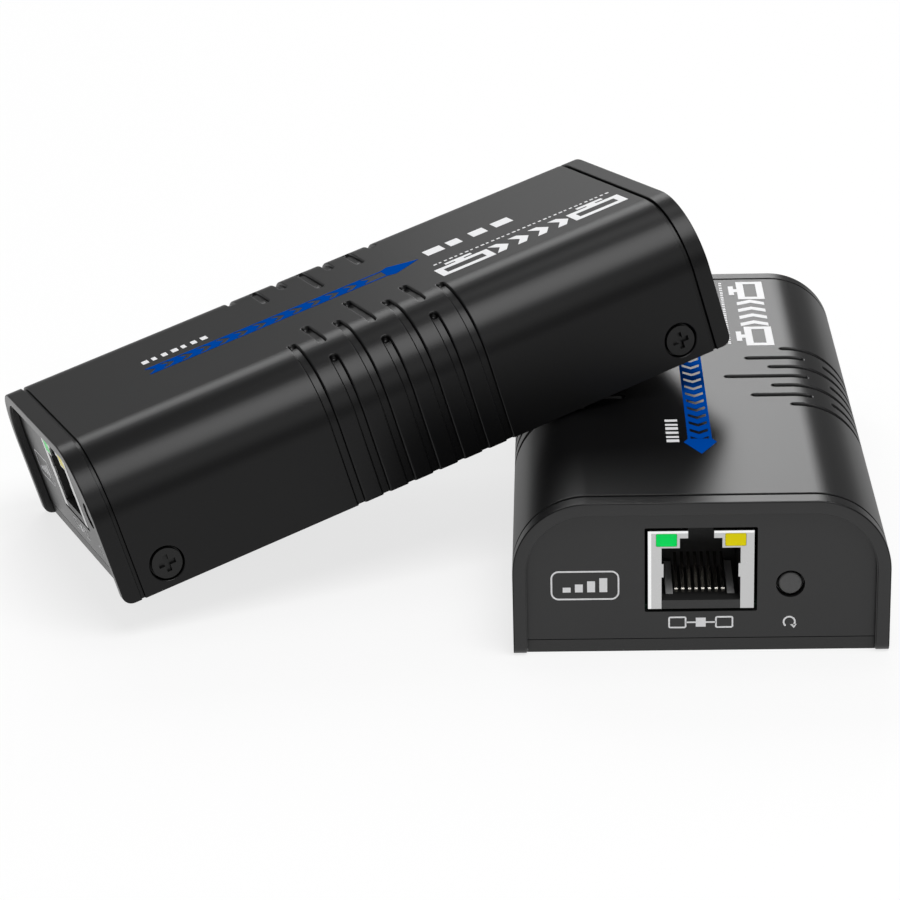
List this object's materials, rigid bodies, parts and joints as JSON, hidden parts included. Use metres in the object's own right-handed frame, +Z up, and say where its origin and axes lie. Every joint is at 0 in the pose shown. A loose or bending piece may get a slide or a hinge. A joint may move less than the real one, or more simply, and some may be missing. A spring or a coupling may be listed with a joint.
{
  "type": "hdmi extender",
  "caption": "Sender and receiver boxes that carry HDMI over network cable: rounded black housings with grooved sides, network, HDMI, infrared and power sockets, and a reset button.",
  "frame": {"origin": "centre of the sender's underside, on the surface that it lies on", "axes": "+Z up; -Y out of the sender's network socket and +Y out of its HDMI socket; the receiver leans on the sender's -X shoulder and stands on one corner at -X"},
  "size_m": [0.143, 0.108, 0.0555],
  "materials": {
    "housing": "satin black moulding",
    "plate": "matt black moulding",
    "panel": "matt dark grey",
    "black_screw": "blackened steel",
    "board": "green solder mask",
    "steel_screw": "zinc plated",
    "plated_sheet": "nickel plated sheet",
    "black_moulding": "glass-filled nylon",
    "gold_contact": "gold plated",
    "green_lens": "clear green moulding",
    "yellow_lens": "clear yellow moulding",
    "button": "matt black moulding",
    "plated_pin": "nickel plated",
    "clear_lens": "clear epoxy",
    "chip": "black epoxy",
    "heat_sink": "anodised",
    "can": "drawn can",
    "ferrite": "ferrite"
  },
  "bodies": {
    "sender": {"sender_top_shell": "housing", "sender_bottom_plate": "plate", "sender_lan_panel": "panel", "sender_hdmi_panel": "panel", "sender_side_screws": "black_screw", "sender_circuit_board": "board", "sender_board_screws": "steel_screw", "sender_lan_shield": "plated_sheet", "sender_lan_housing": "black_moulding", "sender_lan_contacts": "gold_contact", "sender_green_light": "green_lens", "sender_yellow_light": "yellow_lens", "sender_reset_switch": "black_moulding", "sender_reset_cover": "plated_sheet", "sender_hdmi_shell": "plated_sheet", "sender_hdmi_tongue": "black_moulding", "sender_hdmi_contacts": "gold_contact", "sender_infrared_socket": "black_moulding", "sender_power_socket": "black_moulding", "sender_power_pin": "plated_pin", "sender_power_light": "clear_lens", "sender_main_chip": "chip", "sender_heat_sink": "heat_sink", "sender_memory_chips": "chip", "sender_line_transformer": "chip", "sender_crystal": "can", "sender_capacitors": "can", "sender_power_choke": "ferrite"},
    "sender_reset": {"sender_reset_button": "button"},
    "receiver": {"receiver_top_shell": "housing", "receiver_bottom_plate": "plate", "receiver_lan_panel": "panel", "receiver_hdmi_panel": "panel", "receiver_side_screws": "black_screw", "receiver_circuit_board": "board", "receiver_board_screws": "steel_screw", "receiver_lan_shield": "plated_sheet", "receiver_lan_housing": "black_moulding", "receiver_lan_contacts": "gold_contact", "receiver_green_light": "green_lens", "receiver_yellow_light": "yellow_lens", "receiver_reset_switch": "black_moulding", "receiver_reset_cover": "plated_sheet", "receiver_hdmi_shell": "plated_sheet", "receiver_hdmi_tongue": "black_moulding", "receiver_hdmi_contacts": "gold_contact", "receiver_infrared_socket": "black_moulding", "receiver_power_socket": "black_moulding", "receiver_power_pin": "plated_pin", "receiver_power_light": "clear_lens", "receiver_main_chip": "chip", "receiver_heat_sink": "heat_sink", "receiver_memory_chips": "chip", "receiver_line_transformer": "chip", "receiver_crystal": "can", "receiver_capacitors": "can", "receiver_power_choke": "ferrite"},
    "receiver_reset": {"receiver_reset_button": "button"}
  },
  "joints": [
    {"name": "sender_reset_press", "type": "slide", "parent": "sender", "child": "sender_reset", "axis": [0, 1, 0], "range_m": [0, 0.0003], "stiffness_N_per_m": 2000, "springref_m": -0.0005},
    {"name": "receiver_lift", "type": "slide", "parent": "sender", "child": "receiver", "axis": [0, 0, 1], "range_m": [0, 0.04]},
    {"name": "receiver_reset_press", "type": "slide", "parent": "receiver", "child": "receiver_reset", "axis": [0.8869, 0.3891, 0.2491], "range_m": [0, 0.0003], "stiffness_N_per_m": 2000, "springref_m": -0.0005}
  ]
}
